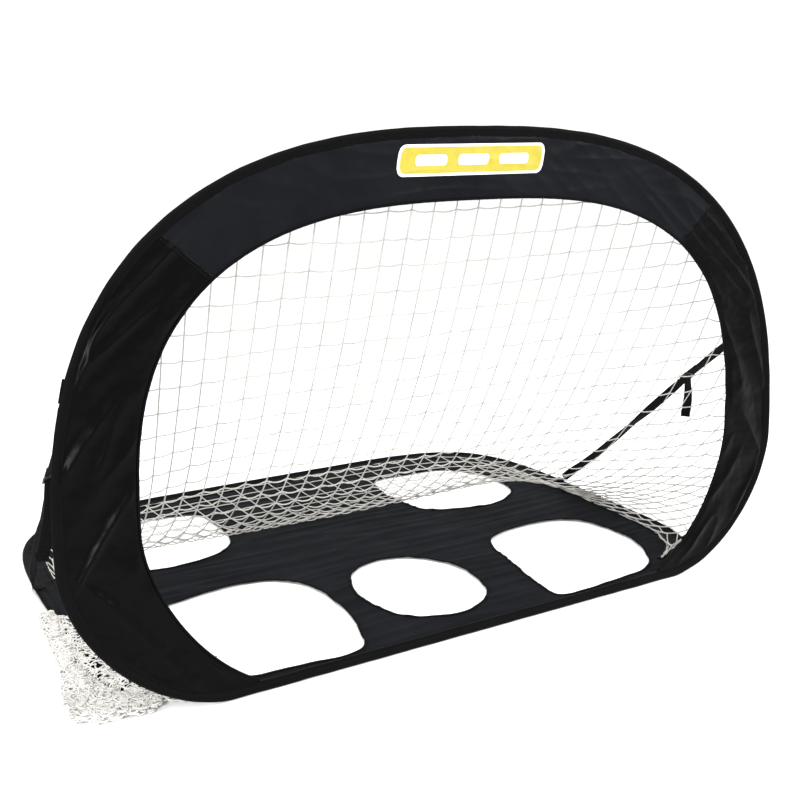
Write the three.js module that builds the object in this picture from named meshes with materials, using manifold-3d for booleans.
// Pop up goal: a mouth loop and a floor loop of spring steel strip, each in a fabric sleeve, joined
// along the front edge so that the mouth folds back onto the floor. A net hangs between the loops,
// and a strap on each side holds the mouth up. Millimetres. X runs along the front edge, +Y goes
// back into the goal and +Z is up. The origin is on the underside of the front edge, at its middle.
import * as THREE from "three";
import Module from "manifold-3d";
import { mergeVertices } from "three/addons/utils/BufferGeometryUtils.js";

const DEG = Math.PI / 180;
const GAP = 0.3; // clearance between pieces that touch

// ---- Driving dimensions ----
const STATIONS = 18; // points on each quarter of a loop

const FLOOR_HALF_WIDTH = 665;
const FLOOR_STRAIGHT = 350; // half of the straight front edge
const FLOOR_CORNER = 275; // how far the front corners reach back
const FLOOR_CORNER_POWER = 2.7;
const FLOOR_DEPTH = 986;
const FLOOR_BACK_POWER = 5.4; // squareness of the back corners

const MOUTH_HALF_WIDTH = 750;
const MOUTH_STRAIGHT = 482;
const MOUTH_CORNER = 270;
const MOUTH_CORNER_POWER = 1.75;
const MOUTH_HEIGHT = 902; // along the leaning plane
const MOUTH_TOP_POWER = 2.63;
const LEAN = 4.6; // degrees back from upright
const SKEW = 0.022; // the mouth loop stands a little to the right: sideways over height

const OPENING_HALF_WIDTH = 621;
const OPENING_STRAIGHT = 376;
const OPENING_CORNER = 298;
const OPENING_CORNER_POWER = 1.63;
const OPENING_HEIGHT = 781;
const OPENING_TOP_POWER = 2.83;

const SLEEVE_WIDTH = 18;
const SLEEVE_THICK = 10;
const HOOP_WIDTH = 6;
const HOOP_THICK = 1.6;
const FABRIC = 1.2; // thickness that stands for a fabric panel
const PANEL_TUCK = 7; // how far a panel runs into the sleeve's lips
const HOOP_FROM_EDGE = 3.5; // the hoop's outer edge to the sleeve's outer edge

const HINGE_Y = -9.8;
const HINGE_Z = 12.2;
const MOUTH_MID = 5.5; // the mouth's middle plane, in front of the hinge axis
const MOUTH_FOOT = 12.1; // how far the mouth reaches below the hinge axis

const STRAP_WIDTH = 20;
const STRAP_THICK = 1.6;
const STRAP_TOP = new THREE.Vector3(715, 500, -2.2); // pivot at the mouth, in the mouth's frame
const STRAP_FOOT = new THREE.Vector3(678, 570, 11); // pivot at the floor loop
const BUCKLE_AT = 235; // from the strap's top pivot
const TAIL_LENGTH = { left: 130, right: 85 };

// ---- Materials ----
const material = (color, roughness, metalness = 0) =>
  new THREE.MeshStandardMaterial({ color, roughness, metalness });
const SIDE_FABRIC = material(0x101012, 0.62);
const BAND_FABRIC = material(0x1c1e22, 0.6);
const FLOOR_FABRIC = material(0x1f2226, 0.62);
const SLEEVE_FABRIC = material(0x0d0d0f, 0.66);
const WEBBING = material(0x0e0e10, 0.8);
const STEEL = material(0x9a9da1, 0.35, 1);
const PLASTIC = material(0x111113, 0.45);
const TWINE = material(0xdedcd2, 0.85);

// ---- Outlines ----
// Point on a quarter of a superellipse, at turn 0 on the first axis and turn 1 on the second.
function quarter(reachA, reachB, power, turn) {
  const angle = (turn * Math.PI) / 2;
  return [reachA * Math.cos(angle) ** (2 / power), reachB * Math.sin(angle) ** (2 / power)];
}

// Closed outline, anticlockwise from the middle of its straight front edge, which lies at `base`.
function outline({ half, straight, corner, cornerPower, height, topPower, base }) {
  const right = [new THREE.Vector2(straight / 2, base)];
  for (let i = 0; i < STATIONS; i++) {
    const [x, y] = quarter(half - straight, corner, cornerPower, 1 - i / STATIONS);
    right.push(new THREE.Vector2(straight + x, base + corner - y));
  }
  for (let i = 0; i < STATIONS; i++) {
    const [x, y] = quarter(half, height - corner, topPower, i / STATIONS);
    right.push(new THREE.Vector2(x, base + corner + y));
  }
  const top = new THREE.Vector2(0, base + height);
  const left = right.map((p) => new THREE.Vector2(-p.x, p.y)).reverse();
  return [...right, top, ...left];
}

// Outward direction at each point of an outline, from its neighbours on each side.
function outward(points, closed = true) {
  const last = points.length - 1;
  return points.map((p, i) => {
    const before = points[i > 0 ? i - 1 : closed ? last : 0];
    const after = points[i < last ? i + 1 : closed ? 0 : last];
    const along = after.clone().sub(before).normalize();
    return new THREE.Vector2(along.y, -along.x);
  });
}

function inset(points, distance) {
  const out = outward(points);
  return points.map((p, i) => p.clone().addScaledVector(out[i], -distance));
}

const FLOOR_EDGE = outline({
  half: FLOOR_HALF_WIDTH, straight: FLOOR_STRAIGHT, corner: FLOOR_CORNER,
  cornerPower: FLOOR_CORNER_POWER, height: FLOOR_DEPTH, topPower: FLOOR_BACK_POWER,
  base: -SLEEVE_WIDTH / 2,
});
const MOUTH_EDGE = outline({
  half: MOUTH_HALF_WIDTH, straight: MOUTH_STRAIGHT, corner: MOUTH_CORNER,
  cornerPower: MOUTH_CORNER_POWER, height: MOUTH_HEIGHT, topPower: MOUTH_TOP_POWER,
  base: -MOUTH_FOOT,
});
const OPENING_EDGE = outline({
  half: OPENING_HALF_WIDTH, straight: OPENING_STRAIGHT, corner: OPENING_CORNER,
  cornerPower: OPENING_CORNER_POWER, height: OPENING_HEIGHT, topPower: OPENING_TOP_POWER,
  base: -MOUTH_FOOT,
});

// ---- Bodies ----
function solid(positions, index) {
  const geometry = new THREE.BufferGeometry();
  geometry.setAttribute("position", new THREE.Float32BufferAttribute(positions, 3));
  geometry.setIndex(index);
  geometry.computeVertexNormals();
  return geometry;
}

// A section swept along points in the XY plane. Section points are [outward, up], anticlockwise
// seen from the path's far end.
function sweep(points, section, closed) {
  const out = outward(points, closed);
  const n = section.length;
  const positions = points.flatMap((p, i) =>
    section.flatMap(([u, v]) => [p.x + u * out[i].x, p.y + u * out[i].y, v]));
  const index = [];
  const rings = closed ? points.length : points.length - 1;
  for (let i = 0; i < rings; i++) {
    const a = i * n;
    const b = ((i + 1) % points.length) * n;
    for (let k = 0; k < n; k++) {
      const next = (k + 1) % n;
      index.push(a + k, b + k, b + next, a + k, b + next, a + next);
    }
  }
  if (!closed) {
    const flat = section.map(([u, v]) => new THREE.Vector2(u, v));
    const end = (points.length - 1) * n;
    for (const [a, b, c] of THREE.ShapeUtils.triangulateShape(flat, [])) {
      index.push(a, b, c, end + a, end + c, end + b);
    }
  }
  return solid(positions, index);
}

// A flat panel, FABRIC thick, centred on height `middle`.
function panel(points, middle, holes = [], thick = FABRIC) {
  const shape = new THREE.Shape(points);
  shape.holes = holes.map((hole) => new THREE.Path(hole));
  const geometry = new THREE.ExtrudeGeometry(shape, { depth: thick, bevelEnabled: false });
  return geometry.translate(0, 0, middle - thick / 2);
}

function box(width, depth, height, x, y, z) {
  return new THREE.BoxGeometry(width, depth, height).translate(x, y, z);
}

const wasm = await Module();
wasm.setup();

function toManifold(geometry) {
  const bare = geometry.clone();
  bare.deleteAttribute("normal");
  bare.deleteAttribute("uv");
  const merged = mergeVertices(bare, 1e-4);
  return new wasm.Manifold(new wasm.Mesh({
    numProp: 3,
    vertProperties: new Float32Array(merged.attributes.position.array),
    triVerts: new Uint32Array(merged.index.array),
  }));
}

function cut(geometry, ...tools) {
  let body = toManifold(geometry);
  for (const tool of tools) body = body.subtract(toManifold(tool));
  const mesh = body.getMesh();
  return solid(Array.from(mesh.vertProperties), Array.from(mesh.triVerts));
}

// ---- Groups ----
const goal = new THREE.Group();
const mouth = new THREE.Group(); // its XY plane is the mouth's plane when folded flat
mouth.position.set(0, HINGE_Y, HINGE_Z);
mouth.rotation.x = (90 - LEAN) * DEG;
goal.add(mouth);

const skew = new THREE.Matrix4().makeShear(0, 0, SKEW, 0, 0, 0);

function add(parent, name, geometry, finish) {
  if (parent === mouth) geometry.applyMatrix4(skew);
  const mesh = new THREE.Mesh(geometry, finish);
  mesh.name = name;
  parent.add(mesh);
  return mesh;
}

// ---- Sleeves, hoops and ferrules ----
// A strip folded round the hoop: a channel for the hoop, and two lips that take the panel's edge.
function sleeveSection(middle) {
  const lip = -SLEEVE_WIDTH;
  const half = SLEEVE_THICK / 2;
  const slot = 1.1; // half heights of the slot between the lips and of the hoop's channel
  const channel = 2.3;
  const [wall, neck] = [-2.2, lip + 7.4];
  const shape = [
    [lip, -2.4], [lip + 6, -half], [-3, -half], [0, -2.5], [0, 2.5], [-3, half],
    [lip + 6, half], [lip, 2.4], [lip, slot], [neck, slot], [neck, channel],
    [wall, channel], [wall, -channel], [neck, -channel], [neck, -slot], [lip, -slot],
  ];
  return shape.map(([u, v]) => [u, v + middle]);
}

function rectangle(inner, outer, low, high) {
  return [[inner, low], [outer, low], [outer, high], [inner, high]];
}

// Spring steel strip, whose ends butt inside the ferrule at `joinX` on the straight front edge.
function hoop(edge, middle, joinX) {
  const start = edge.findIndex((p) => p.x > joinX);
  const order = [...edge.slice(start), ...edge.slice(0, start)];
  const base = edge[0].y;
  const ends = [joinX + 0.5, joinX - 0.5].map((x) => new THREE.Vector2(x, base));
  const section = rectangle(
    -HOOP_FROM_EDGE - HOOP_WIDTH, -HOOP_FROM_EDGE, middle - HOOP_THICK / 2, middle + HOOP_THICK / 2);
  return sweep([ends[0], ...order, ends[1]], section, false);
}

function ferrule(edge, middle, joinX) {
  const length = 40;
  const wall = { across: 0.4, face: 0.8 };
  const bore = { width: HOOP_WIDTH + 2 * GAP, height: HOOP_THICK + 2 * GAP };
  const y = edge[0].y + HOOP_FROM_EDGE + HOOP_WIDTH / 2;
  const outside = box(
    length, bore.width + 2 * wall.across, bore.height + 2 * wall.face, joinX, y, middle);
  return cut(outside, box(length + 2, bore.width, bore.height, joinX, y, middle));
}

const FLOOR_MID = SLEEVE_THICK / 2;
add(goal, "floor_sleeve", sweep(FLOOR_EDGE, sleeveSection(FLOOR_MID), true), SLEEVE_FABRIC);
add(goal, "floor_hoop", hoop(FLOOR_EDGE, FLOOR_MID, -120), STEEL);
add(goal, "floor_hoop_ferrule", ferrule(FLOOR_EDGE, FLOOR_MID, -120), STEEL);
add(mouth, "mouth_sleeve", sweep(MOUTH_EDGE, sleeveSection(MOUTH_MID), true), SLEEVE_FABRIC);
add(mouth, "mouth_hoop", hoop(MOUTH_EDGE, MOUTH_MID, 120), STEEL);
add(mouth, "mouth_hoop_ferrule", ferrule(MOUTH_EDGE, MOUTH_MID, 120), STEEL);

// ---- Mouth border: a top band and two side panels ----
const TUCK_IN = SLEEVE_WIDTH - PANEL_TUCK; // a panel's edge, in from the outline
const SEAM_GAP = GAP / 2;
const SEAM = 9; // stations up the top quarter from the widest point to the band's seam

// Points of the right half up to a station: out along the sleeve, then back along the opening.
function borderHalf(firstOuter, firstInner, last) {
  const outer = inset(MOUTH_EDGE, TUCK_IN).slice(firstOuter, last + 1);
  const inner = OPENING_EDGE.slice(firstInner, last + 1).reverse();
  return [...outer, ...inner];
}

const mirrored = (points) => points.map((p) => new THREE.Vector2(-p.x, p.y)).reverse();
const WIDEST = STATIONS + 1; // index of the widest point on the right
const CREST = 2 * STATIONS + 1; // index of the middle of the top
const FOOT = 1; // station of a side panel's foot on the sleeve
const TIP = 4; // station on the opening where the foot runs out to a tip

// Moves the two points of a seam edge up or down, so that the panels it joins keep their gap.
function shiftSeam(points, seam, distance) {
  return points.map((p, i) => (seam.includes(i) ? new THREE.Vector2(p.x, p.y + distance) : p));
}

function sidePanel() {
  const points = borderHalf(FOOT, TIP, WIDEST + SEAM);
  const count = WIDEST + SEAM - FOOT + 1;
  return shiftSeam(points, [count - 1, count], -SEAM_GAP);
}

function topBand() {
  const half = borderHalf(WIDEST + SEAM, WIDEST + SEAM, CREST);
  const count = CREST - WIDEST - SEAM + 1;
  const right = shiftSeam(half, [0, half.length - 1], SEAM_GAP);
  const outer = right.slice(0, count);
  const inner = right.slice(count);
  return [...outer, ...mirrored(outer).slice(1), ...mirrored(inner), ...inner.slice(1)];
}

add(mouth, "right_side_panel", panel(sidePanel(), MOUTH_MID), SIDE_FABRIC);
add(mouth, "left_side_panel", panel(mirrored(sidePanel()), MOUTH_MID), SIDE_FABRIC);
add(mouth, "top_band", panel(topBand(), MOUTH_MID), BAND_FABRIC);

// Piping round the opening, just inside its edge, from one tip of the border to the other.
const PIPING = 2; // radius
const hexagon = (radius, u, v) => Array.from({ length: 6 }, (_, k) =>
  [u + radius * Math.cos((k * Math.PI) / 3), v + radius * Math.sin((k * Math.PI) / 3)]);
const pipingPath = OPENING_EDGE.slice(TIP + 1, OPENING_EDGE.length - TIP - 1);
const pipingAt = -(PIPING + 2 * GAP);
add(mouth, "opening_piping", sweep(pipingPath, hexagon(PIPING, pipingAt, MOUTH_MID), false), SLEEVE_FABRIC);

// ---- Floor sheet with five target holes ----
const HOLE_POINTS = 28;
const HOLES = {
  centre: [[128, 208], [92, 312], [0, 358], [-88, 318], [-122, 208], [-90, 98], [0, 56], [90, 92]],
  front_left: [[-222, 26], [-192, 100], [-174, 205], [-190, 320], [-250, 384], [-430, 380],
    [-520, 335], [-543, 220], [-520, 110], [-455, 40], [-330, 22]],
  front_right: [[216, 26], [218, 100], [236, 215], [268, 330], [330, 358], [460, 362],
    [522, 315], [544, 210], [518, 105], [462, 42], [330, 22]],
  back_left: [[-222, 650], [-258, 578], [-345, 545], [-450, 552], [-520, 620], [-520, 740],
    [-455, 828], [-340, 838], [-236, 818], [-220, 735]],
  back_right: [[224, 660], [250, 572], [330, 532], [440, 528], [512, 590], [515, 720],
    [455, 806], [340, 822], [245, 812], [224, 740]],
};

function holeOutline(points) {
  const curve = new THREE.CatmullRomCurve3(
    points.map(([x, y]) => new THREE.Vector3(x, y, 0)), true);
  const loop = curve.getSpacedPoints(HOLE_POINTS).slice(0, -1)
    .map((p) => new THREE.Vector2(p.x, p.y));
  return THREE.ShapeUtils.isClockWise(loop) ? loop.reverse() : loop;
}

const holes = Object.entries(HOLES).map(([name, points]) => [name, holeOutline(points)]);
const sheetEdge = inset(FLOOR_EDGE, TUCK_IN);
add(goal, "floor_sheet", panel(sheetEdge, FLOOR_MID, holes.map(([, loop]) => loop)), FLOOR_FABRIC);

const HEM_WIDTH = 6;
const HEM_THICK = 0.9;
const hemLow = FLOOR_MID + FABRIC / 2 + GAP;
for (const [name, loop] of holes) {
  const section = rectangle(0.5, HEM_WIDTH, hemLow, hemLow + HEM_THICK);
  add(goal, `${name}_hole_hem`, sweep(loop, section, true), SLEEVE_FABRIC);
}

// ---- Hinge tape: joins the two sleeves along the front edge ----
const TAPE_HALF = 330;
const tapeLow = SLEEVE_THICK + GAP;
add(goal, "hinge_tape",
  box(2 * TAPE_HALF, 9, 1, 0, HINGE_Y + 5.5, tapeLow + 0.5), WEBBING);

// ---- Net ----
// A sheet of netting between a line behind the mouth's border and a line on the floor sheet, and
// sagging inwards. The solid is thin and stands for the whole net.
const NET_THICK = 2;
const NET_FROM_MOUTH_EDGE = 68;
const NET_FROM_FLOOR_EDGE = 45;
const NET_ACROSS = 30;
const NET_DOWN = 8;
const NET_SAG = 0.13; // of the local span
const NET_LOW = 8.2; // height of the net's foot over the ground

function openRun(edge, distance, low) {
  const points = inset(edge, distance).filter((p) => p.y > low);
  const crest = points.findIndex((p, i) => i > 0 && p.x < 0);
  const ordered = points[0].x > 0 && crest > 0 ? points : points.reverse();
  return new THREE.CatmullRomCurve3(ordered.map((p) => new THREE.Vector3(p.x, p.y, 0)));
}

function netPoint(top, foot, across, down) {
  mouth.updateMatrix();
  const start = top.getPointAt(across).setZ(0).applyMatrix4(skew).applyMatrix4(mouth.matrix);
  const end = foot.getPointAt(across).setZ(NET_LOW);
  const span = start.distanceTo(end);
  const sag = NET_SAG * span * 4 * down * (1 - down);
  const point = start.lerp(end, down);
  point.x *= 1 - 0.05 * 4 * down * (1 - down);
  point.y -= sag * 0.75;
  point.z = Math.max(point.z - sag * 0.65, NET_LOW);
  return point;
}

function netSolid() {
  const top = openRun(MOUTH_EDGE, NET_FROM_MOUTH_EDGE, 60);
  const foot = openRun(FLOOR_EDGE, NET_FROM_FLOOR_EDGE, 60);
  const columns = NET_ACROSS + 1;
  const rows = NET_DOWN + 1;
  const grid = [];
  for (let j = 0; j < rows; j++) {
    for (let i = 0; i < columns; i++) grid.push(netPoint(top, foot, i / NET_ACROSS, j / NET_DOWN));
  }
  const at = (i, j) => grid[j * columns + i];
  const positions = [];
  for (const side of [0, 1]) {
    for (let j = 0; j < rows; j++) {
      for (let i = 0; i < columns; i++) {
        const alongRow = at(Math.min(i + 1, columns - 1), j).clone().sub(at(Math.max(i - 1, 0), j));
        const alongFall = at(i, Math.min(j + 1, rows - 1)).clone().sub(at(i, Math.max(j - 1, 0)));
        const normal = alongRow.cross(alongFall).normalize();
        const point = at(i, j).clone().addScaledVector(normal, side * NET_THICK);
        positions.push(point.x, point.y, point.z);
      }
    }
  }
  const back = rows * columns;
  const index = [];
  const quad = (a, b, c, d) => index.push(a, b, c, a, c, d);
  for (let j = 0; j < rows - 1; j++) {
    for (let i = 0; i < columns - 1; i++) {
      const a = j * columns + i;
      const [b, c, d] = [a + 1, a + columns + 1, a + columns];
      quad(a, d, c, b);
      quad(back + a, back + b, back + c, back + d);
    }
  }
  for (let i = 0; i < columns - 1; i++) {
    const last = (rows - 1) * columns + i;
    quad(i, i + 1, back + i + 1, back + i);
    quad(last + 1, last, back + last, back + last + 1);
  }
  for (let j = 0; j < rows - 1; j++) {
    const a = j * columns;
    const b = a + columns - 1;
    quad(a + columns, a, back + a, back + a + columns);
    quad(b, b + columns, back + b + columns, back + b);
  }
  return solid(positions, index);
}

add(goal, "goal_net", netSolid(), TWINE);

// Spare netting that has slipped out past the left front corner and lies on the ground, between
// the floor loop and this outer edge.
const PILE_EDGE = [[-595, 16], [-650, 13], [-706, 16], [-726, 34], [-724, 75], [-700, 190],
  [-686, 290], [-683, 370], [-675, 440]];
const PILE = { clear: 7, height: 18, bevel: 5 };
function netPile() {
  const edge = inset(FLOOR_EDGE, -PILE.clear);
  const inner = edge.filter((p) => p.x < -605 && p.y < 300);
  const outer = PILE_EDGE.map(([x, y]) => new THREE.Vector2(x, y));
  const shape = new THREE.Shape([...outer, ...inner]);
  const geometry = new THREE.ExtrudeGeometry(shape, {
    depth: PILE.height - 2 * PILE.bevel, bevelEnabled: true, bevelThickness: PILE.bevel,
    bevelSize: PILE.bevel, bevelSegments: 1, bevelOffset: -PILE.bevel,
  });
  return geometry.translate(0, 0, PILE.bevel + GAP);
}

add(goal, "net_pile", netPile(), TWINE);

// ---- Straps ----
// Each strap is a short webbing with a ladder lock, sewn to the mouth, and a long webbing, sewn to
// the floor loop, that runs up through the ladder lock and hangs free as a tail. The short webbing
// swings at the mouth and the tail swings at the lock. The long webbing goes slack in a fold.

// A frame whose +Y runs down the strap, whose X is the webbing's width and whose Z is its face.
function strapFrame(mirror) {
  mouth.updateMatrix();
  const toSide = new THREE.Vector3(mirror, 1, 1);
  const top = STRAP_TOP.clone().multiply(toSide).applyMatrix4(skew).applyMatrix4(mouth.matrix);
  const foot = STRAP_FOOT.clone().multiply(toSide);
  const down = foot.clone().sub(top);
  const group = new THREE.Group();
  group.position.copy(top);
  const yAxis = down.clone().normalize();
  const zAxis = new THREE.Vector3(1, 0, 0).cross(yAxis).normalize();
  const xAxis = yAxis.clone().cross(zAxis);
  group.quaternion.setFromRotationMatrix(new THREE.Matrix4().makeBasis(xAxis, yAxis, zAxis));
  return { group, length: down.length() };
}

const run = (from, to) => box(STRAP_WIDTH, to - from, STRAP_THICK, 0, (from + to) / 2, 0);

// A ladder lock: a hollowed plate with two slots and a bar between them.
const LOCK = { width: 27, length: 26, thick: 3.4, slot: 5, rim: 3 };
function ladderLock(at) {
  const inside = STRAP_WIDTH + 1.4;
  const plate = box(LOCK.width, LOCK.length, LOCK.thick, 0, at, 0);
  const slot = (y) => box(inside, LOCK.slot, LOCK.thick * 3, 0, at + y, 0);
  const hollow = box(inside, LOCK.length - 2 * LOCK.rim, LOCK.thick, 0, at, LOCK.thick / 2 + 0.5);
  return cut(plate, slot(-6.5), slot(1.5), hollow);
}

const STRAP_END = 2; // from a strap's pivot to its webbing
const TAIL_AT = { past: 2, front: 3, below: 8 }; // the tail's pivot and where its webbing starts
const FLOOR_TAB = { width: 22, length: 26, thick: 1.5 };
const MOUTH_TAB = { width: 18, length: 36, thick: 1, above: 20, inward: 3, turn: 15 };
for (const side of ["left", "right"]) {
  const mirror = side === "left" ? -1 : 1;
  const { group, length } = strapFrame(mirror);
  goal.add(group);
  const half = LOCK.length / 2 + GAP;
  add(group, `${side}_anchor_webbing`, run(STRAP_END, BUCKLE_AT - half), WEBBING);
  add(group, `${side}_ladder_lock`, ladderLock(BUCKLE_AT), PLASTIC);
  add(group, `${side}_long_webbing`, run(BUCKLE_AT + half, length - STRAP_END), WEBBING);

  const tail = new THREE.Group();
  const pivot = new THREE.Vector3(0, BUCKLE_AT + TAIL_AT.past, 0).applyQuaternion(group.quaternion);
  tail.position.copy(group.position).add(pivot);
  goal.add(tail);
  const drop = TAIL_LENGTH[side];
  const middle = -drop / 2 - TAIL_AT.below;
  add(tail, `${side}_webbing_tail`,
    box(STRAP_WIDTH, STRAP_THICK, drop, 0, -TAIL_AT.front, middle), WEBBING);

  const floorTabX = mirror * (FLOOR_HALF_WIDTH - SLEEVE_WIDTH / 2);
  const floorTabZ = SLEEVE_THICK + GAP + FLOOR_TAB.thick / 2;
  add(goal, `${side}_floor_strap_tab`,
    box(FLOOR_TAB.width, FLOOR_TAB.length, FLOOR_TAB.thick, floorTabX, STRAP_FOOT.y, floorTabZ),
    WEBBING);
  const mouthTab = box(MOUTH_TAB.width, MOUTH_TAB.length, MOUTH_TAB.thick, 0, 0, 0);
  mouthTab.rotateZ(mirror * MOUTH_TAB.turn * DEG);
  mouthTab.translate(mirror * (STRAP_TOP.x - MOUTH_TAB.inward), STRAP_TOP.y + MOUTH_TAB.above,
    MOUTH_MID - (SLEEVE_THICK + MOUTH_TAB.thick) / 2 - GAP);
  add(mouth, `${side}_mouth_strap_tab`, mouthTab, WEBBING);
}

export default goal;
